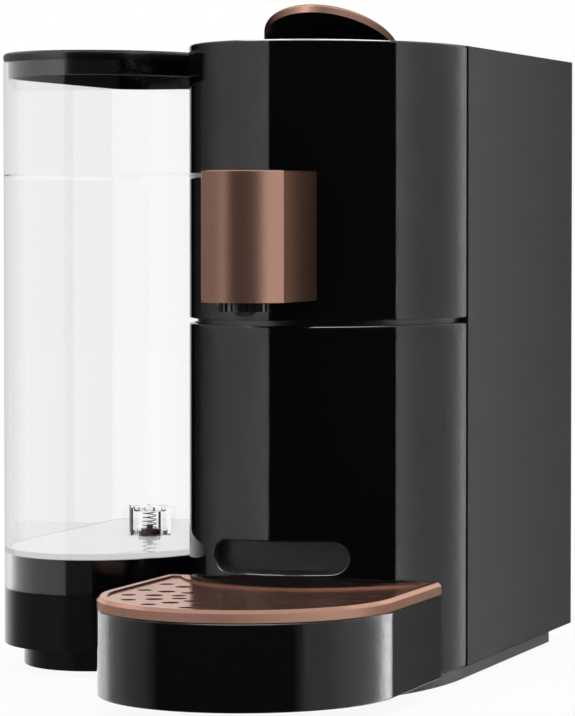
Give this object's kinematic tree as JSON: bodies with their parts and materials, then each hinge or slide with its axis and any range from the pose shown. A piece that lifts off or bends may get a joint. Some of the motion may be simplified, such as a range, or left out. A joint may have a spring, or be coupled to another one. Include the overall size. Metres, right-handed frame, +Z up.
{
  "type": "single-serve coffee machine",
  "caption": "Slim capsule coffee machine with a bowed gloss front, brewing head, top lever, pull-out tray drawer, clear lift-off side tank and drip grid.",
  "frame": {"origin": "centre of the whole machine's footprint on the table, under its bounding box", "axes": "+Z up, +Y towards the back, +X to the machine's right seen from the front"},
  "size_m": [0.241, 0.4078, 0.3185],
  "materials": {
    "shell": "piano black, polished",
    "side": "satin dark grey",
    "black": "moulded black",
    "copper": "copper coloured, satin metallic",
    "clear": "clear, polished",
    "tray": "black, semi-gloss",
    "rubber": "soft black",
    "seal": "food-grade silicone",
    "steel": "turned",
    "block": "cast",
    "works": "natural moulded plastic",
    "pump": "varnished coil in a steel yoke",
    "board": "printed circuit board",
    "brown": "dark brown moulded"
  },
  "bodies": {
    "machine": {"plinth": "black", "base_plate": "black", "rubber_feet": "rubber", "right_side_panel": "side", "left_side_panel": "side", "rear_panel": "black", "rear_panel_screws": "steel", "rear_screw_bosses": "black", "cord_gland": "rubber", "upper_front_panel": "shell", "top_cover": "black", "middle_deck": "black", "bulkhead": "black", "drawer_rails": "black", "head_sleeve": "copper", "head_core": "black", "head_screws": "steel", "outlet_nozzle": "black", "coffee_channel": "black", "capsule_chute": "black", "right_brew_cheek": "works", "left_brew_cheek": "works", "injector": "works", "chamber_gasket": "seal", "shaft_bushes": "works", "button_board": "board", "button_switches": "black", "tank_dock": "tray", "dock_foot": "black", "dock_spigot": "black", "dock_seal": "seal", "thermoblock": "block", "thermal_fuses": "steel", "vibration_pump": "pump", "pump_mounts": "rubber", "flow_meter": "works", "suction_hose": "seal", "pump_hose": "seal", "pressure_pipe": "works", "hot_water_pipe": "seal", "power_board": "board", "board_standoffs": "works"},
    "lever": {"lever_handle": "copper", "lever_arm": "black", "lever_shaft": "steel", "gear_sectors": "works"},
    "capsule_cup": {"capsule_cup": "works"},
    "drawer": {"lower_front_panel": "shell", "drawer_carrier": "black", "capsule_bin": "black", "drip_tray": "tray"},
    "grid": {"drip_grid": "copper"},
    "tank": {"water_tank": "clear", "valve_cage": "clear", "valve_spring": "steel"},
    "tank_lid": {"tank_lid": "tray"},
    "valve": {"valve_poppet": "brown"},
    "power_button": {"power_button": "black"},
    "small_cup_button": {"small_cup_button": "black"},
    "large_cup_button": {"large_cup_button": "black"}
  },
  "joints": [
    {"name": "lever_hinge", "type": "hinge", "parent": "machine", "child": "lever", "pos_m": [0.05345, 0.08935, 0.289], "axis": [-1, 0, 0], "range_deg": [0, 80]},
    {"name": "cup_slide", "type": "slide", "parent": "machine", "child": "capsule_cup", "axis": [0, -1, 0], "range_m": [0, 0.03072]},
    {"name": "drawer_slide", "type": "slide", "parent": "machine", "child": "drawer", "axis": [0, -1, 0], "range_m": [0, 0.125]},
    {"name": "grid_lift", "type": "slide", "parent": "drawer", "child": "grid", "axis": [0, 0, 1], "range_m": [0, 0.035]},
    {"name": "tank_lift", "type": "slide", "parent": "machine", "child": "tank", "axis": [0, 0, 1], "range_m": [0, 0.09]},
    {"name": "lid_lift", "type": "slide", "parent": "tank", "child": "tank_lid", "axis": [0, 0, 1], "range_m": [0, 0.03]},
    {"name": "valve_lift", "type": "slide", "parent": "tank", "child": "valve", "axis": [0, 0, 1], "range_m": [0, 0.0025], "stiffness_N_per_m": 200, "springref_m": -0.003, "deforming": ["valve_spring"]},
    {"name": "power_press", "type": "slide", "parent": "machine", "child": "power_button", "axis": [0, 0, -1], "range_m": [0, 0.0012], "stiffness_N_per_m": 400, "springref_m": -0.0015},
    {"name": "small_cup_press", "type": "slide", "parent": "machine", "child": "small_cup_button", "axis": [0, 0, -1], "range_m": [0, 0.0012], "stiffness_N_per_m": 400, "springref_m": -0.0015},
    {"name": "large_cup_press", "type": "slide", "parent": "machine", "child": "large_cup_button", "axis": [0, 0, -1], "range_m": [0, 0.0012], "stiffness_N_per_m": 400, "springref_m": -0.0015}
  ],
  "couplings": [
    {"joint": "cup_slide", "follows": "lever_hinge", "m_per_rad": 0.022}
  ]
}
